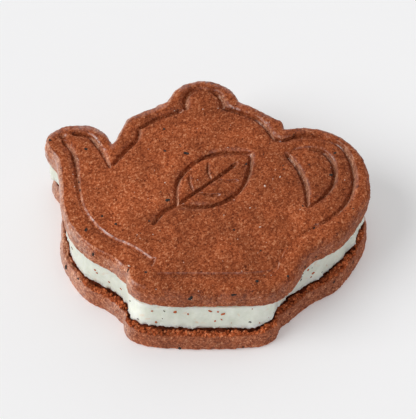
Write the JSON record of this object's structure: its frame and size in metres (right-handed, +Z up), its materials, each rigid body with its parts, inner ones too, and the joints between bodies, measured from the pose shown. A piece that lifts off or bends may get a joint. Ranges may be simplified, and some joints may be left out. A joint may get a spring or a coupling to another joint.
{
  "type": "chocolate sandwich cookie",
  "caption": "Teapot-shaped chocolate sandwich biscuit: an upper biscuit with a pressed teapot drawing and leaf, a thick pale cream filling and a plain lower biscuit.",
  "frame": {"origin": "under the middle of the whole, on the surface that it rests on", "axes": "+X towards the teapot's handle, +Y towards the knob of its lid, +Z up, from the lower biscuit to the upper one"},
  "size_m": [0.0748, 0.066, 0.0175],
  "materials": {
    "chocolate_biscuit": "baked cocoa shortbread: matt, sandy, with fine light and dark grains and black flecks",
    "mint_cream": "firm pale green buttercream: smooth satin, slightly translucent, with a few crumbs and vanilla specks"
  },
  "bodies": {
    "root": {"biscuit_top": "chocolate_biscuit", "filling": "mint_cream", "biscuit_bottom": "chocolate_biscuit"}
  },
  "joints": []
}
